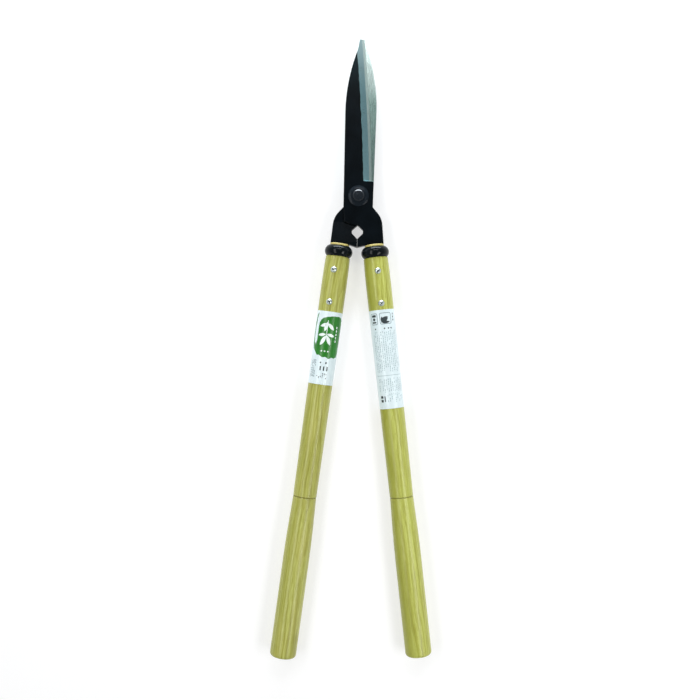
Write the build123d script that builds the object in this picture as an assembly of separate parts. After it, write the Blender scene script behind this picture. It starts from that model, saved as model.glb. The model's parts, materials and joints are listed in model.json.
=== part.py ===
"""Hedge shears with wooden handles, lying closed on their back.

Two forged blades cross at a bolted pivot. Each forging is one piece: a blade ground to a
single bevel, a half-thickness plate at the pivot, a full-thickness shank that ends in a flat
shoulder and a stop face, and a tapered tang driven into a turned handle. A steel collar keeps
the handle from splitting, two screws hold the tang, and a paper label is wrapped round the wood.

Everything is first built in the blade frame: pivot axis on Z, blades along +Y, front face +Z.
The front blade carries the right handle. The rear blade is the same forging turned half round
the Y axis, with its own handle angle. At the end all pieces move to the part's own frame, whose
origin is the centre of the footprint: +Y towards the blade tips, +Z up, millimetres.
"""
from build123d import *
import math
import os
from typing import NamedTuple

# ---- blades -----------------------------------------------------------------------------
REACH = 166.5            # pivot to blade tip
HEEL = 17.0              # pivot to the end of the ground bevel
PLATE = 4.5              # thickness of one blade plate at the pivot
TIP_PLATE = 2.8          # thickness of the plate at the tip
FACE_GAP = 0.05          # each blade stands this far off the plane between them
RICASSO_HALF = 15.6      # half width of the plate beside the pivot
BELLY_HALF = 16.6        # spine's distance from the centre line at its widest
BELLY_Y = 90.0           # where the spine starts to curve in
NOSE = (-5.0, 156.0)     # where the curved spine turns into the narrow nose
NOSE_FILLET = 22.0
TIP_SPINE = 3.3          # half width of the tip on the spine side
EDGE_HEEL = 13.6         # cutting edge's distance from the centre line at the heel
EDGE_TIP = 1.6           # and at the tip
EDGE_BOW = 1.3           # how far the cutting edge bows out of a straight line
BEVEL = 8.8              # width of the whole ground bevel
HONED = 2.7              # width of the honed strip along the edge
HONED_Z = 1.0            # height of the strip's upper side
EDGE_Z = 0.2             # thickness left at the edge itself
SPINE_ROUND = 0.9        # rounding along the spine
GRIND_RUNOUT = 1.1       # slope that ends the ground bevel at the heel
HOLLOW_DEPTH = 0.5       # hollow grinding of the inner face
HOLLOW_HALF = (10.5, 56.0)

# ---- shank, stop and tang -----------------------------------------------------------------
BOSS_R = 31.0            # the half plate ends on this circle round the pivot
BOSS_LINE = 14.6         # and on a line this far from the centre, at the circle
LAP_CLEAR = 0.4          # clearance of the lap joint
BOSS_ROUND = 2.2         # rounding of that corner
WAIST_Y = -11.5          # where the plate widens into the shank
SHANK_CORNER = (25.6, -22.8)  # corner between the shank's slanted and straight sides
SHANK_ROUND = 22.0       # and its rounding
SHOULDER_X = 28.2        # outer end of the flat shoulder
WINDOW_TOP = -31.0       # six-sided gap between the shanks
WINDOW_HALF = 5.8
WINDOW_SIDE = (-36.2, -39.8)
WINDOW_BOTTOM = -45.6
STOP_GAP = 0.1           # each stop face's distance from the centre plane
STOP_LOW = -54.4         # lower end of the stop faces
NECK_SIDE_X = 7.6        # where the flat shoulder ends, beside the handle's neck
RAMP = (-28.0, -49.0)    # the shank's lap side thickens between these
RAMP_Z = 2.0             # its thickness beside the lap joint
SHANK_FILLET = 1.2
TANG_TOP = (10.0, 7.6)   # width and thickness at the shoulder
TANG_END = (5.2, 4.2)
TANG_LENGTH = 96.0

# ---- pivot ---------------------------------------------------------------------------------
BOLT_R = 4.0
PIVOT_CLEAR = 0.05       # radial running clearance
HEAD_R = 6.1
HEAD_H = 2.5
HEAD_CHAMFER = 1.1
HEAD_CROWN = 0.25
CAP_WASHER_R = 11.0
CAP_WASHER_RIM = 0.7
CAP_WASHER_H = 1.9
REAR_WASHER = (8.6, 1.2)
SPRING_WASHER = (7.0, 1.6)
SPRING_SPLIT = 1.2
NUT_FLATS = 13.0
NUT_H = 4.6
BOLT_PROUD = 0.7

# ---- handles -------------------------------------------------------------------------------
HANDLE_TOP = (18.3, -50.9)   # centre of the handle's upper end
NECK_R = 10.3                # turned neck that the collar sits on
NECK_CHAMFER = 0.7
SHAFT_TOP_R = 12.9
SHAFT_MAX = (45.0, 13.4)     # distance from the top, and radius
GROOVE_R = 12.4
GROOVE = (1.3, 0.7)          # width and depth of the turned mark
GRIP_FROM_GROOVE = 64.0      # from the turned mark to the start of the plain grip
GRIP_R = 13.9
BUTT_ROUND = 3.4
POCKET_CLEAR = 0.1

# ---- collar, screws and labels ----------------------------------------------------------------
COLLAR = (2.2, 13.8)         # where the collar starts and ends, from the handle's top
COLLAR_R = 14.8
COLLAR_TOP_R = 11.0
COLLAR_FOOT_R = 12.4
FIT_CLEAR = 0.03
SCREWS_AT = (28.8, 63.0)
SCREW_R = 1.7
SCREW_LENGTH = 20.0
SCREW_HEAD_R = 3.25
SCREW_HEAD_H = 2.1
SCREW_HEAD_RIM = 0.35
SCREW_SEAT = 0.45            # depth of the spot face under a screw head
RECESS = (3.4, 0.85, 1.3)    # cross recess: length, width, depth
TANG_HOLE_R = 2.1
LABEL_THICK = 0.16
LABEL_OPEN = 24.0            # degrees of bare wood left along the label's seam

FAR = 200.0                  # larger than any part, for cutting tools


class Half(NamedTuple):
    """What differs between the two halves."""
    splay: float             # angle of the handle to the blades, in degrees
    facing: int              # the side that the tang screws enter, +1 or -1
    screw_turn: float        # the screws are set this far to the outer side, in degrees
    groove_at: float         # the turned mark, from the handle's top
    length: float            # of the handle
    label: tuple             # where the label starts and ends, from the handle's top


RIGHT = Half(7.9, 1, 1.5, 269.0, 438.0, (69.8, 174.1))
LEFT = Half(6.2, -1, 10.0, 271.0, 442.0, (73.1, 150.3))


def edge_x(y):
    """Distance of the cutting edge from the centre line at height y: a straight line plus a bow."""
    share = (y - HEEL) / (REACH - HEEL)
    return EDGE_HEEL + (EDGE_TIP - EDGE_HEEL) * share + 4 * EDGE_BOW * share * (1 - share)


def plate_z(y):
    """Thickness of the blade plate at height y."""
    share = min(max((y - HEEL) / (REACH - HEEL), 0), 1)
    return PLATE + (TIP_PLATE - PLATE) * share


def shoulder_y(x, splay):
    """Height of the shank's flat shoulder, which is square to the handle."""
    return HANDLE_TOP[1] + (x - HANDLE_TOP[0]) * math.tan(math.radians(splay))


def outline(splay):
    """The front blade's whole outline, with its edge and its shank on the +X side."""
    boss_y = -math.sqrt(BOSS_R**2 - BOSS_LINE**2)
    low_left = (-BOSS_LINE, boss_y)
    waist_left = (-RICASSO_HALF, WAIST_Y)
    belly = (-BELLY_HALF, BELLY_Y)
    nose = NOSE
    tip_spine = (-TIP_SPINE, REACH)
    tip_edge = (EDGE_TIP, REACH)
    mid = (HEEL + REACH) / 2
    heel_edge = (EDGE_HEEL, HEEL)
    heel = (RICASSO_HALF, HEEL)
    waist = (RICASSO_HALF, WAIST_Y)
    corner = (SHOULDER_X, shoulder_y(SHOULDER_X, splay))
    neck_side = (NECK_SIDE_X, shoulder_y(NECK_SIDE_X, splay))
    stop_low = (STOP_GAP, STOP_LOW)
    stop_top = (STOP_GAP, WINDOW_BOTTOM)
    side_low = (WINDOW_HALF, WINDOW_SIDE[1])
    side_top = (WINDOW_HALF, WINDOW_SIDE[0])
    top = (0, WINDOW_TOP)
    boss_mid = (-BOSS_R * math.sin(math.radians(14)), -BOSS_R * math.cos(math.radians(14)))
    spine = [
        Line(low_left, waist_left),
        Line(waist_left, belly),
        TangentArc(belly, nose, tangent=(0, 1)),
        Line(nose, tip_spine),
        Line(tip_spine, tip_edge),
    ]
    edge = [
        ThreePointArc(tip_edge, (edge_x(mid), mid), heel_edge),
        Line(heel_edge, heel),
        Line(heel, waist),
    ]
    shank = [
        Polyline(waist, SHANK_CORNER, corner, neck_side, stop_low, stop_top, side_low, side_top, top),
        ThreePointArc(top, boss_mid, low_left),
    ]
    face = make_face(Wire([e for piece in spine + edge + shank for e in piece.edges()]))
    for point, radius in ((nose, NOSE_FILLET), (SHANK_CORNER, SHANK_ROUND), (low_left, BOSS_ROUND)):
        face = fillet(face.vertices().sort_by_distance(Vector(*point, 0))[0], radius)
    return face


def lap_outline(splay):
    """The shank's outline behind the lap joint, clear of the other blade's half plate."""
    boss = BOSS_R + LAP_CLEAR
    line_x = BOSS_LINE + LAP_CLEAR
    line_y = -math.sqrt(boss**2 - line_x**2)
    waist_x = RICASSO_HALF + LAP_CLEAR
    beside = make_face(
        Polyline(
            (-FAR, line_y), (line_x, line_y), (waist_x, WAIST_Y), (waist_x, 0),
            (FAR, 0), (FAR, FAR), (-FAR, FAR), (-FAR, line_y),
        )
    )
    left_half = Location((line_x - FAR / 2, 0)) * Rectangle(FAR, 2 * FAR)
    return outline(splay) - beside - (Circle(boss) & left_half)


def grind_cutter():
    """Everything above the ground bevel, lofted through sections square to the blade."""
    stations = 6
    beyond = 4.0
    crown = 3.0
    heights = [HEEL + (REACH + beyond - HEEL) * n / (stations - 1) for n in range(stations)]
    sections = []
    for y in [HEEL - GRIND_RUNOUT, *heights]:
        edge = edge_x(max(y, HEEL))
        top = plate_z(y)
        slope = (top - HONED_Z) / (BEVEL - HONED)
        honed_z, outer_z = HONED_Z, EDGE_Z - beyond * (HONED_Z - EDGE_Z) / HONED
        if y < HEEL:
            honed_z, outer_z = top + 0.02, top + 0.01
        points = [
            (edge + beyond, outer_z),
            (edge - HONED, honed_z),
            (edge - BEVEL - crown / slope, top + crown),
            (edge + beyond, top + crown),
        ]
        sections.append(Plane.XZ.offset(-y) * make_face(Polyline(*points, points[0])))
    return loft(sections, ruled=True)


def hollow_cutter():
    """A long shallow dish, as left by a large wheel, that opens in the plate's inner face."""
    half_width, half_length = HOLLOW_HALF
    sweep_r = (half_width**2 + HOLLOW_DEPTH**2) / (2 * HOLLOW_DEPTH)
    long_r = half_length**2 / (2 * HOLLOW_DEPTH)
    run = half_length * 1.1
    drop = run**2 / (2 * long_r)
    profile = make_face(
        [
            ThreePointArc((sweep_r - drop, -run), (sweep_r, 0), (sweep_r - drop, run)),
            Polyline((sweep_r - drop, run), (0, run), (0, -run), (sweep_r - drop, -run)),
        ]
    )
    dish = revolve(profile, Axis.Y)
    middle = HEEL + (REACH - HEEL) * 0.46
    lean = math.degrees(math.atan((EDGE_HEEL - EDGE_TIP) / (REACH - HEEL))) / 2
    centre_x = (edge_x(middle) - BELLY_HALF) / 2
    return Location((centre_x, middle, HOLLOW_DEPTH + FACE_GAP - sweep_r), (0, 0, lean)) * dish


def handle_frame(splay):
    """Maps handle coordinates to the blade frame: +Z down the handle, +X outwards, +Y to the front."""
    angle = math.radians(splay)
    return Plane(
        origin=(*HANDLE_TOP, 0),
        x_dir=(math.cos(angle), math.sin(angle), 0),
        z_dir=(math.sin(angle), -math.cos(angle), 0),
    )


def bar(top, end, length, grow=0.0):
    """A tapered rectangular bar along +Z, grown on all sides."""
    sections = [
        Location((0, 0, z)) * Rectangle(size[0] + 2 * grow, size[1] + 2 * grow)
        for z, size in ((-grow, top), (length + grow, end))
    ]
    return loft(sections, ruled=True)


def screw_place(at, depth, side):
    """Where a tang screw sits in a handle: +Z out of the wood at the given distance from the axis."""
    turn = math.radians(side.screw_turn)
    out = Vector(math.sin(turn), side.facing * math.cos(turn), 0)
    return Plane(origin=out * depth + Vector(0, 0, at), z_dir=out, x_dir=(0, 0, 1))


def shaft_r(at, groove_at):
    """Radius of the handle's plain taper at a distance from its top."""
    start, top = SHAFT_MAX
    return top + (GROOVE_R - top) * (at - start) / (groove_at - start)


def forging(side):
    """One blade with its shank and tang."""
    plate = extrude(Location((0, 0, FACE_GAP)) * outline(side.splay), PLATE - FACE_GAP)
    taper = Polyline(
        (HEEL, PLATE), (REACH, plate_z(REACH)), (FAR, plate_z(REACH)), (FAR, FAR), (HEEL, FAR), (HEEL, PLATE)
    )
    plate -= extrude(Plane.YZ * make_face(taper), FAR, both=True)
    rim = [e for face in plate.faces() if face.normal_at().Z > 0.9 for e in face.edges()]
    plate = fillet([e for e in rim if e.center().X < -TIP_SPINE], SPINE_ROUND)
    plate -= grind_cutter()
    plate -= hollow_cutter()
    lap = extrude(Location((0, 0, -PLATE)) * lap_outline(side.splay), PLATE + FACE_GAP)
    ramp = Polyline(
        (0, FACE_GAP), (0, -RAMP_Z), (RAMP[0], -RAMP_Z), (RAMP[1], -PLATE), (-FAR, -PLATE),
        (-FAR, FACE_GAP), (0, FACE_GAP),
    )
    lap &= extrude(Plane.YZ * make_face(ramp), FAR, both=True)
    body = plate + lap
    outer = [
        e
        for e in body.edges()
        if e.geom_type in (GeomType.CIRCLE, GeomType.ELLIPSE)
        and e.center().X > RICASSO_HALF
        and e.center().Y < WAIST_Y
        and abs(e.center().Z) > RAMP_Z - 0.1
    ]
    body = fillet(outer, SHANK_FILLET)
    frame = handle_frame(side.splay)
    body += frame.location * bar(TANG_TOP, TANG_END, TANG_LENGTH, 0.0)
    for at in SCREWS_AT:
        hole = screw_place(at, 0, side).location * Cylinder(TANG_HOLE_R, 4 * TANG_TOP[0])
        body -= frame.location * hole
    body -= Cylinder(BOLT_R + PIVOT_CLEAR, FAR)
    return body


def handle(side):
    """The turned wooden handle, bored for the tang and its screws."""
    foot = COLLAR[1] + 0.1
    groove_w, groove_d = GROOVE
    groove_at = side.groove_at
    groove_top = groove_at - groove_w / 2
    groove_low = groove_at + groove_w / 2
    grip_start = groove_at + GRIP_FROM_GROOVE
    grip_blend = (grip_start + groove_at) / 2
    butt_edge = side.length - BUTT_ROUND
    outer = [
        Polyline((0, 0), (NECK_R - NECK_CHAMFER, 0), (NECK_R, NECK_CHAMFER), (NECK_R, foot),
                 (SHAFT_TOP_R - 0.8, foot), (SHAFT_TOP_R, foot + 0.8)),
        Spline((SHAFT_TOP_R, foot + 0.8), SHAFT_MAX[::-1],
               tangents=[(0.03, 1), (GROOVE_R - SHAFT_MAX[1], groove_at - SHAFT_MAX[0])]),
        Polyline(SHAFT_MAX[::-1], (shaft_r(groove_top, groove_at), groove_top),
                 (GROOVE_R - groove_d, groove_at), (GROOVE_R, groove_low)),
        Spline((GROOVE_R, groove_low), ((GROOVE_R + GRIP_R) / 2, grip_blend - 6), (GRIP_R, grip_start),
               tangents=[(0.01, 1), (0, 1)]),
        Line((GRIP_R, grip_start), (GRIP_R, butt_edge)),
        JernArc((GRIP_R, butt_edge), (0, 1), BUTT_ROUND, 90),
        Polyline((GRIP_R - BUTT_ROUND, side.length), (0, side.length), (0, 0)),
    ]
    half = make_face(Wire([e for piece in outer for e in piece.edges()]))
    wood = revolve(Plane.XZ * half, Axis.Z)
    wood -= bar(TANG_TOP, TANG_END, TANG_LENGTH, POCKET_CLEAR)
    for at in SCREWS_AT:
        seat = SHAFT_MAX[1] - SCREW_SEAT
        place = screw_place(at, seat, side).location
        bore = Cylinder(SCREW_R + FIT_CLEAR, 2 * (SCREW_LENGTH + 0.4))
        spot = Location((0, 0, 2)) * Cylinder(SCREW_HEAD_R + 0.1, 4)
        wood -= place * (bore + spot)
    return handle_frame(side.splay).location * wood


def collar(side):
    """The bulged ring pressed on the handle's neck."""
    start, end = COLLAR
    bore = NECK_R + FIT_CLEAR
    middle = start + (end - start) * 0.48
    profile = [
        Polyline((bore, end), (bore, start), (COLLAR_TOP_R, start)),
        ThreePointArc((COLLAR_TOP_R, start), (COLLAR_R, middle), (COLLAR_FOOT_R, end)),
        Line((COLLAR_FOOT_R, end), (bore, end)),
    ]
    ring = revolve(Plane.XZ * make_face(Wire([e for p in profile for e in p.edges()])), Axis.Z)
    return handle_frame(side.splay).location * ring


def tang_screw(side, at):
    """A round-head screw with a cross recess, through the handle and its tang."""
    length, width, depth = RECESS
    dome = TangentArc((0, SCREW_HEAD_H), (SCREW_HEAD_R, SCREW_HEAD_RIM), tangent=(1, 0))
    profile = make_face(
        Wire(
            [
                *Polyline((0, SCREW_HEAD_H), (0, -SCREW_LENGTH), (SCREW_R, 4 - SCREW_LENGTH),
                          (SCREW_R, 0), (SCREW_HEAD_R, 0), (SCREW_HEAD_R, SCREW_HEAD_RIM)).edges(),
                *dome.edges(),
            ]
        )
    )
    screw = revolve(Plane.XZ * profile, Axis.Z)
    for turn in (45, 135):
        slot = Location((0, 0, SCREW_HEAD_H - depth / 2 + 0.01), (0, 0, turn))
        screw -= slot * Box(length, width, depth + 0.02)
    place = screw_place(at, SHAFT_MAX[1] - SCREW_SEAT, side).location
    return handle_frame(side.splay).location * place * screw


def label(side):
    """A paper label wrapped round the taper, open along its seam at the back."""
    inner = [(shaft_r(at, side.groove_at) + FIT_CLEAR, at) for at in side.label]
    outer = [(r + LABEL_THICK, at) for r, at in inner]
    strip = make_face(Polyline(inner[0], inner[1], outer[1], outer[0], inner[0]))
    wrap = revolve(Plane.XZ * strip, Axis.Z, 360 - LABEL_OPEN)
    seam_side = side.facing * -90 + LABEL_OPEN / 2
    return handle_frame(side.splay).location * Location((0, 0, 0), (0, 0, seam_side)) * wrap


def ring(outer, inner, low, high):
    """A plain washer between two heights."""
    return Location((0, 0, (low + high) / 2)) * (
        Cylinder(outer, high - low) - Cylinder(inner, FAR)
    )


def pivot_parts():
    """The bolt, its washers and its nut, stacked through both blades."""
    bore = BOLT_R + PIVOT_CLEAR
    top = PLATE + 0.02
    cap = [
        Polyline((bore, top + CAP_WASHER_H), (bore, top), (CAP_WASHER_R, top),
                 (CAP_WASHER_R, top + CAP_WASHER_RIM)),
        Spline((CAP_WASHER_R, top + CAP_WASHER_RIM), (HEAD_R + 0.4, top + CAP_WASHER_H),
               tangents=[(-1, 0.45), (-1, 0.08)]),
        Line((HEAD_R + 0.4, top + CAP_WASHER_H), (bore, top + CAP_WASHER_H)),
    ]
    cap_washer = revolve(Plane.XZ * make_face(Wire([e for p in cap for e in p.edges()])), Axis.Z)
    seat = top + CAP_WASHER_H
    rear = -(PLATE + 0.02)
    rear_low = rear - REAR_WASHER[1]
    spring_low = rear_low - SPRING_WASHER[1]
    nut_low = spring_low - NUT_H
    shaft_low = nut_low - BOLT_PROUD
    rim = seat + HEAD_H - HEAD_CHAMFER
    head = [
        Polyline((0, seat + HEAD_H), (0, shaft_low), (BOLT_R - 0.6, shaft_low), (BOLT_R, shaft_low + 0.6),
                 (BOLT_R, seat), (HEAD_R, seat), (HEAD_R, rim),
                 (HEAD_R - HEAD_CHAMFER, seat + HEAD_H - HEAD_CROWN)),
        TangentArc((0, seat + HEAD_H), (HEAD_R - HEAD_CHAMFER, seat + HEAD_H - HEAD_CROWN), tangent=(1, 0)),
    ]
    bolt = revolve(Plane.XZ * make_face(Wire([e for p in head for e in p.edges()])), Axis.Z)
    split = Location((SPRING_WASHER[0], 0, (rear_low + spring_low) / 2), (0, 0, 12)) * Box(
        2 * SPRING_WASHER[0] - BOLT_R, SPRING_SPLIT, 2 * SPRING_WASHER[1]
    )
    spring = ring(SPRING_WASHER[0], bore + 0.1, spring_low, rear_low) - split
    nut = extrude(
        Location((0, 0, nut_low)) * RegularPolygon(NUT_FLATS / 2, 6, major_radius=False), NUT_H
    )
    corner_cut = revolve(
        Plane.XZ
        * make_face(
            Polyline(
                (NUT_FLATS / 2 - 0.1, nut_low), (NUT_FLATS, nut_low), (NUT_FLATS, nut_low + 3.2),
                (NUT_FLATS / 2 - 0.1, nut_low),
            )
        ),
        Axis.Z,
    )
    nut = nut - corner_cut - Cylinder(BOLT_R + FIT_CLEAR, FAR)
    return {
        "pivot_bolt": bolt,
        "front_cap_washer": cap_washer,
        "rear_washer": ring(REAR_WASHER[0], bore, rear_low, rear),
        "spring_washer": spring,
        "pivot_nut": nut,
    }


def half(name, side):
    """The pieces that one handle carries, as named shapes in the blade frame of the front blade."""
    return {
        f"{name}_handle": handle(side),
        f"{name}_collar": collar(side),
        f"{name}_upper_screw": tang_screw(side, SCREWS_AT[0]),
        f"{name}_lower_screw": tang_screw(side, SCREWS_AT[1]),
        f"{name}_label": label(side),
    }


def build():
    """Every node of the part, in the blade frame."""
    turn_over = Location((0, 0, 0), (0, 180, 0))
    pieces = {"front_blade": forging(RIGHT), **half("right", RIGHT)}
    rear = {"rear_blade": forging(LEFT), **half("left", LEFT)}
    return {**pieces, **{name: turn_over * shape for name, shape in rear.items()}, **pivot_parts()}


def place(pieces):
    """Moves the pieces so that the centre of their footprint is the origin."""
    box = Compound(list(pieces.values())).bounding_box()
    move = Location((-box.center().X, -box.center().Y, -box.min.Z))
    print("pivot in the part's frame:", [round(v, 4) for v in move.position])
    print("size:", box.size)
    return {name: move * shape for name, shape in pieces.items()}


os.makedirs("parts", exist_ok=True)
for name, shape in place(build()).items():
    export_step(shape, f"parts/{name}.step")
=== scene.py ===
"""The looks of the hedge shears: materials, printed labels, light and camera, around the CAD frame.

Lengths below are millimetres in one of two local frames, and MM turns them into metres. Lights, floor and
camera are in metres. Colours are linear red, green and blue.
Blade frame: origin on the pivot's axis between the blades, +u to the cutting edge, +v to the tip,
+w out of the blade's own outer side. Handle frame: origin at the centre of the handle's upper end,
+t down the handle, and an angle round it from the front, positive to the viewer's right.
"""
import json
import math
import random

import bmesh
import bpy
from mathutils import Euler, Matrix, Vector


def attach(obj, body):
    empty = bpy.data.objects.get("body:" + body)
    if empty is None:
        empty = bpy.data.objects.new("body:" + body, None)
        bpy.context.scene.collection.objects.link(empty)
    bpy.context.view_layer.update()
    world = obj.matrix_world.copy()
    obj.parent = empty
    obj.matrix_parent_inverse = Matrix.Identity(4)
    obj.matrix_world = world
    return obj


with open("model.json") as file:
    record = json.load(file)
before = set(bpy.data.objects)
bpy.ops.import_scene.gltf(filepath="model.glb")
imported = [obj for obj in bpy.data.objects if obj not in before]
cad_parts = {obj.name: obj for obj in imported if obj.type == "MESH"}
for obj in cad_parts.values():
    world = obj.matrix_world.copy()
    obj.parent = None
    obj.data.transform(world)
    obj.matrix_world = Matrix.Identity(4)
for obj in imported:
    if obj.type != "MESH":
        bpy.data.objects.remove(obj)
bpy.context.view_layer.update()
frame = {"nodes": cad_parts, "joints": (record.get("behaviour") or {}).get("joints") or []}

MM = 0.001
PIVOT = Vector(frame["joints"][0]["pos_m"])
BODIES = {"right": "front_half", "left": "rear_half"}

# ---- sizes the CAD model gives the blades and handles -----------------------------------------
HEEL, REACH = 17.0, 166.5
EDGE_HEEL, EDGE_TIP, EDGE_BOW = 13.6, 1.6, 1.3
BEVEL, HONED, GRIND_RUNOUT = 8.8, 2.7, 1.1
HANDLE_TOP = (18.3, -50.9)
SPLAY = {"right": math.radians(7.9), "left": math.radians(6.2)}
SIGN = {"right": 1, "left": -1}
SHAFT_MAX = (45.0, 13.4)
GROOVE_R = 12.4
GROOVE_AT = {"right": 269.0, "left": 271.0}
HANDLE_LENGTH = {"right": 438.0, "left": 442.0}
LABEL = {"right": (69.8, 174.1), "left": (73.1, 150.3)}
SCREWS_AT = (28.8, 63.0)
SCREW_TURN = {"right": math.radians(1.5), "left": math.radians(10.0)}
SCREW_HEAD_TOP = 15.05   # the top of a screw's head, from the handle's axis
LABEL_FACE = 0.19        # the label's outer face stands this far off the wood

# ---- sizes that only the looks need ------------------------------------------------------------
ON_LABEL = LABEL_FACE + 0.01    # the lower face of ink printed on the label
ON_GREEN = LABEL_FACE + 0.035   # the lower face of ink printed over the green block
INK_THICK = 0.02
LAP_HALF, LAP_END = 14.0, -27.5   # the lap joint's half width, and where it ends below the pivot
RING_PITCH = 2.6                # one year of the wood


def handle_axes(side):
    """The handle's origin, its direction downwards and the direction across it to the right."""
    angle = SPLAY[side]
    sign = SIGN[side]
    origin = PIVOT + Vector((sign * HANDLE_TOP[0], HANDLE_TOP[1], 0)) * MM
    down = Vector((sign * math.sin(angle), -math.cos(angle), 0))
    across = Vector((math.cos(angle), sign * math.sin(angle), 0))
    return origin, down, across


def shaft_r(side, at):
    """The handle's radius between its collar and its turned mark."""
    share = (at - SHAFT_MAX[0]) / (GROOVE_AT[side] - SHAFT_MAX[0])
    return SHAFT_MAX[1] + (GROOVE_R - SHAFT_MAX[1]) * share


# ---- material building ------------------------------------------------------------------------
class Surface:
    """A node material under construction. Values may be numbers, tuples or sockets."""

    def __init__(self, name):
        self.material = bpy.data.materials.new(name)
        self.material.use_nodes = True
        self.tree = self.material.node_tree
        self.tree.nodes.clear()
        self.shader = self.tree.nodes.new("ShaderNodeBsdfPrincipled")
        output = self.tree.nodes.new("ShaderNodeOutputMaterial")
        self.tree.links.new(self.shader.outputs[0], output.inputs[0])

    def put(self, socket, value):
        if isinstance(value, bpy.types.NodeSocket):
            self.tree.links.new(value, socket)
        elif value is not None:
            socket.default_value = value

    def set(self, **values):
        """Sets the shader's sockets, with _ for a space in their names."""
        for name, value in values.items():
            if isinstance(value, tuple) and len(value) == 3:
                value = (*value, 1.0)
            self.put(self.shader.inputs[name.replace("_", " ")], value)

    def math(self, operation, a, b=None):
        node = self.tree.nodes.new("ShaderNodeMath")
        node.operation = operation
        self.put(node.inputs[0], a)
        self.put(node.inputs[1], b)
        return node.outputs[0]

    def add(self, a, b):
        return self.math("ADD", a, b)

    def sub(self, a, b):
        return self.math("SUBTRACT", a, b)

    def mul(self, a, b):
        return self.math("MULTIPLY", a, b)

    def step(self, value, low, high):
        """0 below low and 1 above high, smooth between. low may exceed high."""
        node = self.tree.nodes.new("ShaderNodeMapRange")
        node.interpolation_type = "SMOOTHSTEP"
        for name, item in (("Value", value), ("From Min", low), ("From Max", high)):
            self.put(node.inputs[name], item)
        return node.outputs["Result"]

    def between(self, value, low, high, soft):
        """1 between low and high, with soft borders."""
        above_low = self.step(value, low - soft, low + soft)
        below_high = self.step(value, high + soft, high - soft)
        return self.mul(above_low, below_high)

    def mix(self, share, a, b):
        """A colour mix."""
        node = self.tree.nodes.new("ShaderNodeMix")
        node.data_type = "RGBA"
        self.put(node.inputs[0], share)
        for socket, value in ((node.inputs[6], a), (node.inputs[7], b)):
            self.put(socket, (*value, 1.0) if isinstance(value, tuple) else value)
        return node.outputs[2]

    def blend(self, share, a, b):
        """A mix of two numbers."""
        node = self.tree.nodes.new("ShaderNodeMix")
        self.put(node.inputs[0], share)
        self.put(node.inputs[2], a)
        self.put(node.inputs[3], b)
        return node.outputs[0]

    def object_point(self):
        return self.tree.nodes.new("ShaderNodeTexCoord").outputs["Object"]

    def object_normal(self, euler):
        """The object-space normal, in the frame that euler turns the object's axes to."""
        normal = self.tree.nodes.new("ShaderNodeTexCoord").outputs["Normal"]
        return self.split(self.mapped(normal, Vector(), euler, 1.0))

    def mapped(self, vector, origin, euler, unit=MM):
        """The vector in a frame with that origin and rotation, measured in that unit."""
        node = self.tree.nodes.new("ShaderNodeMapping")
        node.vector_type = "TEXTURE"
        self.put(node.inputs["Vector"], vector)
        node.inputs["Location"].default_value = origin
        node.inputs["Rotation"].default_value = euler
        node.inputs["Scale"].default_value = (unit, unit, unit)
        return node.outputs[0]

    def split(self, vector):
        node = self.tree.nodes.new("ShaderNodeSeparateXYZ")
        self.put(node.inputs[0], vector)
        return node.outputs[0], node.outputs[1], node.outputs[2]

    def stretch(self, vector, x, y, z):
        """The vector with each component scaled."""
        node = self.tree.nodes.new("ShaderNodeVectorMath")
        node.operation = "MULTIPLY"
        self.put(node.inputs[0], vector)
        node.inputs[1].default_value = (x, y, z)
        return node.outputs[0]

    def noise(self, vector, scale=1.0, detail=2.0, roughness=0.5, distortion=0.0, offset=0.0):
        if offset:
            shift = self.tree.nodes.new("ShaderNodeVectorMath")
            shift.operation = "ADD"
            self.put(shift.inputs[0], vector)
            shift.inputs[1].default_value = (offset, offset * 0.7, -offset)
            vector = shift.outputs[0]
        node = self.tree.nodes.new("ShaderNodeTexNoise")
        self.put(node.inputs["Vector"], vector)
        for name, value in (("Scale", scale), ("Detail", detail), ("Roughness", roughness),
                            ("Distortion", distortion)):
            node.inputs[name].default_value = value
        return node.outputs[0]

    def ramp(self, value, stops):
        """A colour ramp through (position, colour) stops."""
        node = self.tree.nodes.new("ShaderNodeValToRGB")
        elements = node.color_ramp.elements
        while len(elements) < len(stops):
            elements.new(0.5)
        for element, (position, colour) in zip(elements, stops):
            element.position = position
            element.color = (*colour, 1.0)
        self.put(node.inputs[0], value)
        return node.outputs[0]

    def bump(self, height, distance, strength):
        """A bump of that height in metres."""
        node = self.tree.nodes.new("ShaderNodeBump")
        node.inputs["Strength"].default_value = strength
        node.inputs["Distance"].default_value = distance
        self.put(node.inputs["Height"], height)
        return node.outputs[0]


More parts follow.
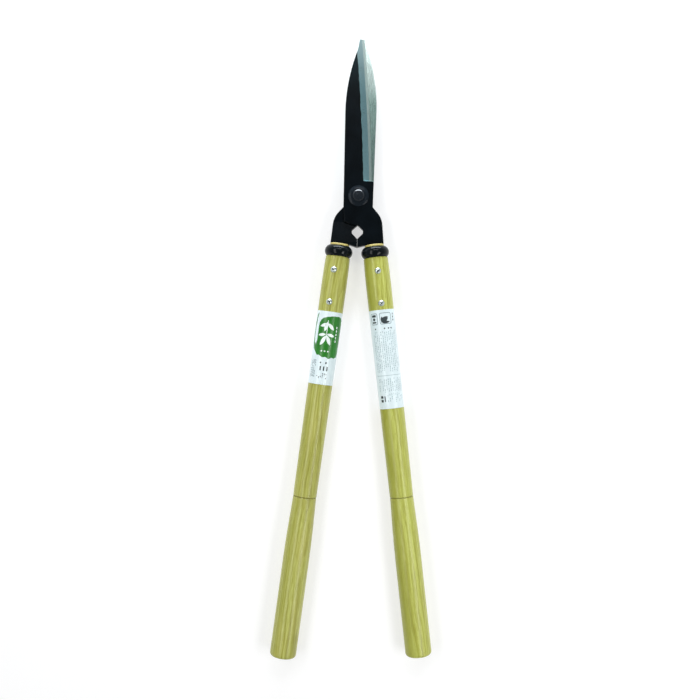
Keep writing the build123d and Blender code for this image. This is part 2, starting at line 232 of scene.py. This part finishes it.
def blade_material(name, euler):
    """Black forged skin, with the bevel, the honed strip and the inner face ground bright."""
    s = Surface(name)
    point = s.mapped(s.object_point(), PIVOT, euler)
    u, v, w = s.split(point)
    normal_w = s.object_normal(euler)[2]
    # where the steel is ground: the bevel and its honed strip follow the bowed edge
    share = s.mul(s.sub(v, HEEL), 1 / (REACH - HEEL))
    bow = 4 * EDGE_BOW
    edge = s.add(EDGE_HEEL, s.mul(share, s.sub(EDGE_TIP - EDGE_HEEL + bow, s.mul(share, bow))))
    wander = s.mul(s.sub(s.noise(s.stretch(point, 0.05, 0.09, 0.05), detail=4), 0.5), 1.6)
    inward = s.sub(edge, u)
    ground_v = s.step(v, HEEL - GRIND_RUNOUT - 0.1, HEEL - GRIND_RUNOUT + 0.15)
    bevel = s.mul(s.step(s.add(inward, wander), BEVEL + 0.25, BEVEL - 0.1), ground_v)
    honed = s.mul(s.step(s.add(inward, s.mul(wander, 0.25)), HONED + 0.15, HONED - 0.15), ground_v)
    # and the inner face is ground on the lap joint and along the blade
    lap = s.mul(s.step(s.math("ABSOLUTE", u), LAP_HALF + 0.3, LAP_HALF), s.step(v, LAP_END, LAP_END + 0.5))
    inner = s.mul(s.step(normal_w, -0.6, -0.8), s.between(w, -0.5, 1.2, 0.1))
    inner = s.mul(inner, s.math("MAXIMUM", lap, s.step(v, 8.0, 10.0)))
    ground = s.math("MAXIMUM", bevel, inner)

    # the forged skin
    scale_pits = s.noise(point, scale=0.9, detail=6, roughness=0.62)
    blotch = s.noise(point, scale=0.07, detail=3)
    skin = s.ramp(blotch, [(0.3, (0.0016, 0.0028, 0.0038)), (0.7, (0.0030, 0.0052, 0.0072))])
    scuff_lines = s.noise(s.stretch(point, 1.6, 0.12, 1.0), detail=5, roughness=0.7, offset=3)
    scuffs = s.mul(s.step(scuff_lines, 0.67, 0.76), s.step(blotch, 0.45, 0.6))
    skin = s.mix(s.mul(scuffs, 0.5), skin, (0.02, 0.03, 0.034))

    # the ground steel, with its grinding lines across the bevel and along the inner face
    across = s.noise(s.stretch(point, 0.22, 5.0, 0.3), detail=4, roughness=0.7)
    along = s.noise(s.stretch(point, 4.0, 0.05, 1.0), detail=2, roughness=0.5, offset=5)
    lines = s.blend(inner, across, along)
    cloud = s.noise(point, scale=0.06, detail=2, offset=9)
    iron = s.ramp(lines, [(0.25, (0.33, 0.60, 0.65)), (0.75, (0.43, 0.74, 0.79))])
    hard = s.ramp(lines, [(0.25, (0.70, 0.93, 0.88)), (0.75, (0.78, 0.97, 0.93))])
    hollow = s.ramp(s.add(s.mul(lines, 0.5), s.mul(cloud, 0.5)),
                    [(0.2, (0.33, 0.50, 0.46)), (0.8, (0.37, 0.55, 0.51))])
    steel = s.mix(inner, s.mix(honed, iron, hard), hollow)
    # painted reflection: the ground steel and the black skin are painted brighter and more teal towards
    # the tip, as the lamp beyond the tips would light them
    painted_tip_reflection = s.blend(inner, s.mul(s.step(v, 105.0, 165.0), 0.4), s.mul(s.step(v, 97.0, 127.0), 0.7))
    steel = s.mix(painted_tip_reflection, steel, (0.78, 0.93, 0.90))
    skin = s.mix(s.mul(s.step(v, 100.0, 160.0), 0.8), skin, (0.008, 0.018, 0.021))

    skin_roughness = s.add(0.2, s.mul(scale_pits, 0.2))
    steel_roughness = s.add(s.blend(inner, 0.22, 0.2), s.mul(lines, 0.16))
    line_height = s.mul(lines, s.blend(inner, 0.08, 0.02))
    s.set(
        Base_Color=s.mix(ground, skin, steel),
        Metallic=ground,
        Roughness=s.blend(ground, skin_roughness, steel_roughness),
        Specular_IOR_Level=0.08,
        Normal=s.bump(s.blend(ground, scale_pits, line_height), 0.00016, 0.5),
    )
    return s.material


def blackened_material(name, worn, gloss):
    """Oil-blackened steel, brighter where it is worn."""
    s = Surface(name)
    point = s.mapped(s.object_point(), PIVOT, Euler((0, 0, 0)))
    fine = s.noise(point, scale=1.4, detail=5, roughness=0.6)
    patches = s.noise(point, scale=0.28, detail=4, roughness=0.7, offset=4)
    wear = s.mul(s.step(patches, 0.55, 0.75), worn)
    black = s.ramp(fine, [(0.3, (0.006, 0.009, 0.012)), (0.7, (0.013, 0.018, 0.024))])
    s.set(
        Base_Color=s.mix(wear, black, (0.11, 0.13, 0.15)),
        Metallic=s.mul(wear, 0.8),
        Roughness=s.add(0.14, s.mul(fine, 0.14)),
        Specular_IOR_Level=gloss,
        Normal=s.bump(fine, 0.00008, 0.4),
    )
    return s.material


def enamel_material():
    """Thick glossy black enamel with a faint orange-peel."""
    s = Surface("collar_enamel")
    point = s.mapped(s.object_point(), PIVOT, Euler((0, 0, 0)))
    peel = s.noise(point, scale=0.55, detail=2)
    dust = s.noise(point, scale=2.4, detail=5, roughness=0.7, offset=2)
    s.set(
        Base_Color=s.ramp(dust, [(0.45, (0.003, 0.005, 0.006)), (0.8, (0.012, 0.016, 0.017))]),
        Roughness=s.add(0.12, s.mul(s.step(dust, 0.5, 0.8), 0.16)),
        Specular_IOR_Level=0.15,
        Normal=s.bump(peel, 0.0003, 0.25),
    )
    return s.material


def zinc_material(side, at):
    """Bright zinc plating with a slightly cloudy finish, with painted shade down in the cross recess."""
    s = Surface(f"{side}_screw_zinc_{round(at)}")
    origin, down, across = handle_axes(side)
    out = Vector((0, 0, math.cos(SCREW_TURN[side]))) + SIGN[side] * across * math.sin(SCREW_TURN[side])
    turn = Matrix((down.cross(out), down, out)).transposed().to_euler()
    point = s.mapped(s.object_point(), origin + down * at * MM, turn)
    x, y, z = s.split(point)
    cloud = s.noise(point, scale=0.9, detail=5, roughness=0.65)
    off_axis = s.math("SQRT", s.add(s.mul(x, x), s.mul(y, y)))
    # painted shade: the floor of the cross recess is painted near-black and less metallic
    deep = s.step(z, SCREW_HEAD_TOP - 0.35, SCREW_HEAD_TOP - 0.6)
    painted_recess_shade = s.mul(s.step(off_axis, 1.9, 1.75), deep)
    zinc = s.ramp(cloud, [(0.3, (0.50, 0.57, 0.53)), (0.7, (0.72, 0.78, 0.74))])
    s.set(
        Base_Color=s.mix(painted_recess_shade, zinc, (0.03, 0.035, 0.035)),
        Metallic=s.sub(1.0, s.mul(painted_recess_shade, 0.8)),
        Roughness=s.add(0.22, s.mul(cloud, 0.2)),
        Normal=s.bump(cloud, 0.00006, 0.4),
    )
    return s.material


def wood_material(side, pith, seed, warm, lift, painted_side_shade):
    """Straight-grained pale hardwood under thin varnish.

    pith is the tree's centre, off the handle's axis. lift scales the wood's red, green and blue, warm is
    the colour of its larger patches, and painted_side_shade is how far a painted shade darkens the left of
    its front.
    """
    s = Surface(f"{side}_handle_wood")
    origin, down, across = handle_axes(side)
    turn = Matrix((across, down.cross(across), down)).transposed().to_euler()
    point = s.mapped(s.object_point(), origin, turn)
    x, y, t = s.split(point)
    # year rings, with a dark late edge
    sway_noise = s.noise(s.stretch(point, 0.03, 0.03, 0.006), detail=2, offset=seed)
    sway = s.mul(s.sub(sway_noise, 0.5), 16)
    far_x = s.sub(x, pith[0])
    far_y = s.sub(y, pith[1])
    from_pith = s.math("SQRT", s.add(s.mul(far_x, far_x), s.mul(far_y, far_y)))
    wobble_noise = s.noise(s.stretch(point, 0.25, 0.25, 0.03), detail=3, offset=seed + 1)
    wobble = s.mul(s.sub(wobble_noise, 0.5), 1.3)
    ring = s.math("FRACT", s.mul(s.add(s.add(from_pith, sway), wobble), 1 / RING_PITCH))
    late = s.mul(s.step(ring, 0.25, 0.95), s.step(ring, 1.0, 0.96))

    # fibres, streaks and pores along the handle
    fibre = s.noise(s.stretch(point, 1.7, 1.7, 0.07), detail=5, roughness=0.68, offset=seed + 2)
    streak = s.noise(s.stretch(point, 0.40, 0.40, 0.007), detail=2, roughness=0.5, offset=seed + 3)
    fleck_noise = s.noise(s.stretch(point, 2.5, 2.5, 0.26), detail=2, roughness=0.5, offset=seed + 4)
    flecks = s.mul(s.step(fleck_noise, 0.60, 0.68), s.sub(1.0, s.mul(late, 0.5)))
    patch = s.noise(s.stretch(point, 0.08, 0.08, 0.018), detail=2, offset=seed + 5)

    grain = s.add(s.mul(streak, 0.34), s.add(0.035, s.mul(late, -0.10)))
    tone = s.add(s.mul(fibre, 0.56), grain)
    stops = [
        (0.25, (0.215, 0.202, 0.026)),
        (0.40, (0.340, 0.336, 0.058)),
        (0.52, (0.455, 0.468, 0.118)),
        (0.70, (0.610, 0.640, 0.225)),
    ]
    colour = s.ramp(tone, [(at, tuple(c * more for c, more in zip(shade, lift))) for at, shade in stops])
    colour = s.mix(s.mul(s.step(patch, 0.42, 0.75), 0.4), colour, warm)
    # painted shade: the left of the front is darker, as if the light came from the right
    colour = s.mix(s.mul(s.step(x, 1.0, -11.0), painted_side_shade), colour, (0.30, 0.31, 0.026))
    colour = s.mix(s.mul(flecks, 0.42), colour, (0.30, 0.235, 0.052))
    # the burnt-dark turned mark, the butt and the end grain at the top
    mark = s.between(t, GROOVE_AT[side] - 1.0, GROOVE_AT[side] + 0.5, 0.5)
    colour = s.mix(s.mul(mark, 0.5), colour, (0.14, 0.115, 0.025))
    end = s.step(t, HANDLE_LENGTH[side] - 0.6, HANDLE_LENGTH[side] - 0.1)
    colour = s.mix(s.mul(end, 0.35), colour, (0.27, 0.23, 0.08))
    colour = s.mix(s.mul(s.step(t, 3.0, 1.0), 0.75), colour, (0.60, 0.46, 0.17))
    s.set(
        Base_Color=colour,
        Roughness=s.add(0.30, s.add(s.mul(fibre, 0.22), s.mul(flecks, 0.2))),
        Specular_IOR_Level=0.4,
        Coat_Weight=0.2,
        Coat_Roughness=0.2,
        Normal=s.bump(s.sub(s.mul(fibre, 0.5), s.mul(flecks, 0.6)), 0.00012, 0.5),
    )
    return s.material


def print_material(name, colour, spread):
    """Printing ink or coated paper, mottled by that share of its colour."""
    s = Surface(name)
    point = s.mapped(s.object_point(), PIVOT, Euler((0, 0, 0)))
    mottle = s.noise(point, scale=1.1, detail=4, roughness=0.6)
    cloud = s.noise(point, scale=0.09, detail=2, offset=6)
    light = tuple(min(1.0, c * (1 + spread)) for c in colour)
    dark = tuple(c * (1 - spread) for c in colour)
    tone = s.add(s.mul(mottle, 0.5), s.mul(cloud, 0.5))
    s.set(
        Base_Color=s.ramp(tone, [(0.35, dark), (0.65, light)]),
        Roughness=s.add(0.3, s.mul(mottle, 0.14)),
        Coat_Weight=0.25,
        Coat_Roughness=0.15,
        Normal=s.bump(cloud, 0.0006, 0.12),
    )
    return s.material


# ---- printed shapes ------------------------------------------------------------------------------
def rounded(left, right, top, bottom, corner, steps=5):
    """A rounded rectangle in label coordinates, across and down."""
    points = []
    centres = [(right - corner, top + corner, -90), (right - corner, bottom - corner, 0),
               (left + corner, bottom - corner, 90), (left + corner, top + corner, 180)]
    for x, y, start in centres:
        for n in range(steps + 1):
            angle = math.radians(start + 90 * n / steps)
            points.append((x + corner * math.cos(angle), y + corner * math.sin(angle)))
    return points


def leaf(x, y, length, width, degrees, steps=7):
    """A pointed leaf that starts at x, y and runs that many degrees clockwise from straight down."""
    angle = math.radians(degrees)
    along = (-math.sin(angle), math.cos(angle))
    sideways = (along[1], -along[0])
    points = []
    for side in (1, -1):
        for n in range(steps):
            share = n / steps if side > 0 else 1 - n / steps
            bulge = side * width / 2 * math.sin(math.pi * share) ** 0.8
            points.append((x + along[0] * length * share + sideways[0] * bulge,
                           y + along[1] * length * share + sideways[1] * bulge))
    return points


def wrapped(name, side, shapes, lift, material):
    """Thin closed shapes bent round the handle, lift off the wood. shapes are (across, down) polygons."""
    bm = bmesh.new()
    for shape in shapes:
        bm.faces.new([bm.verts.new((a, b, 0)) for a, b in shape])
    bm.normal_update()
    bmesh.ops.triangulate(bm, faces=bm.faces[:], ngon_method="EAR_CLIP")
    low = math.ceil(min(v.co.x for v in bm.verts))
    high = math.floor(max(v.co.x for v in bm.verts))
    # cuts every millimetre let flat shapes follow the round handle
    for cut in range(low, high + 1):
        bmesh.ops.bisect_plane(bm, geom=bm.verts[:] + bm.edges[:] + bm.faces[:], dist=1e-5,
                               plane_co=(cut + 0.013, 0, 0), plane_no=(1, 0, 0))
    grown = bmesh.ops.extrude_face_region(bm, geom=bm.faces[:])
    top = {v for v in grown["geom"] if isinstance(v, bmesh.types.BMVert)}
    for v in top:
        v.co.z = INK_THICK
    origin, down, across = handle_axes(side)
    for v in bm.verts:
        at = LABEL[side][0] + v.co.y
        radius = shaft_r(side, at) + lift + v.co.z
        angle = v.co.x / shaft_r(side, at)
        out = Vector((0, 0, math.cos(angle))) + across * math.sin(angle)
        v.co = origin + (down * at + out * radius) * MM
    bmesh.ops.recalc_face_normals(bm, faces=bm.faces[:])
    mesh = bpy.data.meshes.new(name)
    bm.to_mesh(mesh)
    bm.free()
    piece = bpy.data.objects.new(name, mesh)
    bpy.context.scene.collection.objects.link(piece)
    mesh.materials.append(material)
    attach(piece, BODIES[side])
    return piece


def band(outer, inner):
    """The quads between two closed outlines with the same number of points."""
    count = len(outer)
    return [[outer[n], outer[(n + 1) % count], inner[(n + 1) % count], inner[n]] for n in range(count)]


def columns(random_source, left, right, top, bottom, pitch, width, fill):
    """Columns of short strokes of uneven length, as small print looks from afar."""
    shapes = []
    x = left
    while x + width < right:
        y = top + random_source.uniform(0, 1.5)
        while y < bottom:
            run = random_source.uniform(0.8, 2.2)
            if random_source.random() < fill and y + run < bottom:
                shapes.append([(x, y), (x + width, y), (x + width, y + run), (x, y + run)])
            y += run + random_source.uniform(0.45, 0.8)
        x += pitch
    return shapes


def left_label_prints(inks):
    """A green block with a sprig of leaves, and small marks under it."""
    dice = random.Random(11)
    outline = [
        (-8.2, 9.4), (-5.5, 7.2), (0.0, 5.4), (6.0, 4.6), (11.0, 4.2), (14.6, 5.2), (17.2, 8.0),
        (18.0, 14.0), (18.3, 24.0), (18.0, 34.0), (17.4, 43.0), (15.6, 47.0), (11.5, 48.6), (8.6, 48.0),
        (4.8, 49.6), (1.4, 47.8), (-2.0, 48.6), (-5.6, 46.6), (-8.2, 46.8), (-11.6, 42.8), (-14.4, 39.6),
        (-16.6, 34.0), (-17.6, 24.0), (-17.0, 13.0), (-15.2, 5.0), (-13.2, 1.8), (-12.7, 2.6),
        (-14.0, 9.0), (-15.2, 18.0), (-15.3, 27.0), (-13.9, 33.4), (-11.4, 36.0), (-10.3, 30.0),
        (-10.6, 20.0), (-10.0, 12.6),
    ]
    uneven = 0.16   # how far a point of the block's edge may stray
    block = []
    for n, (x, y) in enumerate(outline):
        next_x, next_y = outline[(n + 1) % len(outline)]
        for share in (0.0, 0.25, 0.5, 0.75):
            block.append((x + (next_x - x) * share + dice.uniform(-uneven, uneven),
                          y + (next_y - y) * share + dice.uniform(-uneven, uneven)))
    wrapped("left_label_green", "left", [block], ON_LABEL, inks["green"])
    sprig = [
        leaf(-0.2, 10.5, 11.0, 3.8, 14),
        leaf(0.2, 12.5, 9.5, 3.6, -44),
        leaf(-0.4, 13.0, 8.5, 3.4, 66),
        leaf(-0.6, 25.5, 12.0, 4.0, 26),
        leaf(0.0, 25.0, 11.5, 3.8, -24),
        leaf(0.0, 24.0, 8.5, 3.2, -78),
        leaf(-1.0, 24.3, 8.5, 3.2, 80),
    ]
    stem = [[(-0.7, 9.5), (0.1, 9.5), (-0.1, 27.5), (-0.7, 27.5)]]
    dots = [rounded(x - 0.8, x + 0.8, 41.2, 42.8, 0.7, steps=3) for x in (-3.4, 0.0, 3.4)]
    bars = [rounded(9.6, 11.0, y, y + 2.4, 0.6, steps=3) for y in (15.0, 18.6, 22.2, 25.8, 29.4)]
    wrapped("left_label_sprig", "left", sprig + stem + dots + bars, ON_GREEN, inks["white"])
    marks = [rounded(-3.4, -1.8, 53.4, 55.0, 0.5, steps=3), rounded(2.4, 4.0, 53.2, 55.2, 0.5, steps=3)]
    marks += [rounded(x, x + 1.4, 58.0, 62.6, 0.4, steps=3) for x in (-2.8, 0.8, 4.4)]
    marks += columns(dice, -5.0, 7.0, 65.0, 71.5, 1.9, 0.8, 0.8)
    wrapped("left_label_marks", "left", marks, ON_LABEL, inks["dark"])
    side_marks = columns(dice, -14.0, -6.6, 51.5, 72.0, 1.35, 0.9, 0.88)
    wrapped("left_label_fine_print", "left", side_marks, ON_LABEL, inks["grey"])


def right_label_prints(inks):
    """Two framed plain symbols, and columns of fine strokes."""
    dice = random.Random(23)
    frames = []
    for left, right in ((-14.0, -5.4), (-3.4, 9.4)):
        inner = rounded(left + 0.7, right - 0.7, 3.9, 14.7, 1.3)
        frames += band(rounded(left, right, 3.2, 15.4, 1.9), inner)
    wrapped("right_label_frames", "right", frames, ON_LABEL, inks["grey"])
    symbols = [
        rounded(-12.2, -7.2, 4.9, 7.3, 0.5, steps=3),
        rounded(-11.2, -8.2, 8.2, 11.2, 1.4, steps=4),
        rounded(-12.2, -7.2, 12.1, 13.7, 0.5, steps=3),
        leaf(-2.0, 13.4, 9.6, 5.4, -128),
        leaf(-1.0, 13.9, 8.6, 2.4, -96),
        leaf(-1.6, 12.6, 5.6, 2.2, -170),
    ]
    symbols += [rounded(11.6, 12.9, y, y + 2.0, 0.4, steps=3) for y in (4.0, 7.2, 10.4)]
    symbols += [rounded(x - 0.7, x + 0.7, 19.0, 20.6, 0.6, steps=3) for x in (-9.2, 0.8, 5.0, 8.2)]
    symbols += [rounded(-11.8, -8.6, y, y + 2.8, 0.6, steps=3) for y in (90.4, 94.4)]
    symbols.append(rounded(-7.2, -6.0, 90.8, 96.8, 0.4, steps=3))
    wrapped("right_label_symbols", "right", symbols, ON_LABEL, inks["dark"])
    fine = columns(dice, -12.5, 15.0, 22.0, 66.0, 2.1, 0.7, 0.82)
    fine += columns(dice, -12.0, 15.0, 72.0, 87.0, 2.1, 0.7, 0.76)
    fine += columns(dice, -3.5, 15.0, 87.5, 98.0, 2.1, 0.7, 0.66)
    fine.append([(-14.0, 69.0), (16.0, 69.0), (16.0, 69.5), (-14.0, 69.5)])
    wrapped("right_label_fine_print", "right", fine, ON_LABEL, inks["pale"])


# ---- the scene ----------------------------------------------------------------------------------
def dress():
    """Gives every CAD node its material and adds the printed shapes."""
    blades = {"front_blade": Euler((0, 0, 0)), "rear_blade": Euler((0, math.pi, 0))}
    materials = {node: blade_material(f"{node}_steel", euler) for node, euler in blades.items()}
    materials["pivot_bolt"] = blackened_material("bolt_black", worn=0.5, gloss=0.6)
    washers = blackened_material("washer_black", worn=0.1, gloss=0.08)
    for node in ("front_cap_washer", "rear_washer", "spring_washer"):
        materials[node] = washers
    materials["pivot_nut"] = materials["pivot_bolt"]
    enamel = enamel_material()
    paper = print_material("label_paper", (0.73, 0.84, 0.86), spread=0.05)
    woods = {
        "right": wood_material("right", pith=(27, -34), seed=3.0, warm=(0.50, 0.55, 0.11),
                               lift=(1.15, 1.19, 1.08), painted_side_shade=0.75),
        "left": wood_material("left", pith=(-36, -22), seed=31.0, warm=(0.49, 0.455, 0.12),
                              lift=(1.02, 1.03, 1.0), painted_side_shade=0.3),
    }
    for side in BODIES:
        materials[f"{side}_handle"] = woods[side]
        materials[f"{side}_collar"] = enamel
        materials[f"{side}_upper_screw"] = zinc_material(side, SCREWS_AT[0])
        materials[f"{side}_lower_screw"] = zinc_material(side, SCREWS_AT[1])
        materials[f"{side}_label"] = paper
    for node, material in materials.items():
        for slot in frame["nodes"][node].material_slots:
            slot.material = material
    inks = {
        "green": print_material("ink_green", (0.012, 0.19, 0.008), spread=0.2),
        "white": print_material("ink_white", (0.80, 0.88, 0.84), spread=0.04),
        "dark": print_material("ink_dark", (0.035, 0.05, 0.055), spread=0.2),
        "grey": print_material("ink_grey", (0.28, 0.36, 0.38), spread=0.15),
        "pale": print_material("ink_pale", (0.36, 0.48, 0.50), spread=0.1),
    }
    left_label_prints(inks)
    right_label_prints(inks)


def floor():
    """A plain pale floor, lit a little from below like a light table."""
    s = Surface("floor_pale")
    point = s.mapped(s.object_point(), Vector(), Euler((0, 0, 0)), 1.0)
    cloud = s.noise(point, scale=3.0, detail=3)
    tone = s.ramp(cloud, [(0.3, (0.47, 0.47, 0.47)), (0.7, (0.49, 0.49, 0.49))])
    s.set(Base_Color=tone, Roughness=0.9, Specular_IOR_Level=0.1,
          Emission_Color=(1.0, 1.0, 1.0), Emission_Strength=0.56)
    bm = bmesh.new()
    bmesh.ops.create_grid(bm, x_segments=8, y_segments=8, size=6.0)
    mesh = bpy.data.meshes.new("floor")
    bm.to_mesh(mesh)
    bm.free()
    plane = bpy.data.objects.new("floor", mesh)
    bpy.context.scene.collection.objects.link(plane)
    plane.location.z = -0.0002
    mesh.materials.append(s.material)


def area_light(name, place, target, size, power, colour=(1, 1, 1)):
    """A rectangular lamp at place, turned to target."""
    data = bpy.data.lights.new(name, "AREA")
    data.shape = "RECTANGLE"
    data.size, data.size_y = size
    data.energy = power
    data.color = colour
    light = bpy.data.objects.new(name, data)
    bpy.context.scene.collection.objects.link(light)
    light.location = place
    light.rotation_euler = (Vector(target) - Vector(place)).to_track_quat("-Z", "Y").to_euler()


def studio():
    """A long soft lamp at each side, one beyond the tips, and a dim surround that is darkest overhead."""
    area_light("lamp_left", (-0.50, -0.05, 0.76), (-0.05, -0.05, 0), (1.1, 0.26), 4.1)
    area_light("lamp_right", (0.54, -0.36, 0.74), (0.05, -0.28, 0), (0.70, 0.26), 4.1)
    area_light("lamp_beyond", (0.05, 0.90, 1.05), (0, 0.25, 0), (0.8, 0.26), 4.4)
    pale_blue = (0.85, 0.93, 1.0)
    area_light("card_beyond", (0.0, 0.80, 0.13), (0, 0.0, 0.10), (0.7, 0.22), 8.0, pale_blue)
    world = bpy.data.worlds.new("surround")
    world.use_nodes = True
    tree = world.node_tree
    direction = tree.nodes.new("ShaderNodeTexCoord").outputs["Generated"]
    parts = tree.nodes.new("ShaderNodeSeparateXYZ")
    tree.links.new(direction, parts.inputs[0])
    ramp = tree.nodes.new("ShaderNodeValToRGB")
    tree.links.new(parts.outputs[2], ramp.inputs[0])
    ramp.color_ramp.elements.new(0.5)
    shades = ((0.03, 0.85), (0.3, 0.28), (0.93, 0.05))   # height of the direction, brightness
    for element, (position, shade) in zip(ramp.color_ramp.elements, shades):
        element.position = position
        element.color = (shade, shade * 1.03, shade * 1.06, 1)
    tree.links.new(ramp.outputs[0], tree.nodes["Background"].inputs["Color"])
    tree.nodes["Background"].inputs["Strength"].default_value = 1.0
    bpy.context.scene.world = world
    bpy.context.scene.view_settings.view_transform = "Standard"


def camera():
    """Straight above the shears, with the blades leaning a little to the right in the picture."""
    distance = 0.96
    view_width = 0.744
    aim = Vector((-4.1, -163.3, 0)) * MM + PIVOT
    data = bpy.data.cameras.new("camera")
    data.sensor_width = 36.0
    data.lens = data.sensor_width * distance / view_width
    data.clip_start, data.clip_end = 0.01, 30.0
    cam = bpy.data.objects.new("camera", data)
    bpy.context.scene.collection.objects.link(cam)
    cam.location = aim + Vector((0, 0, distance))
    cam.rotation_euler = (0, 0, math.radians(1.7))
    bpy.context.scene.camera = cam


camera()
studio()
floor()
dress()
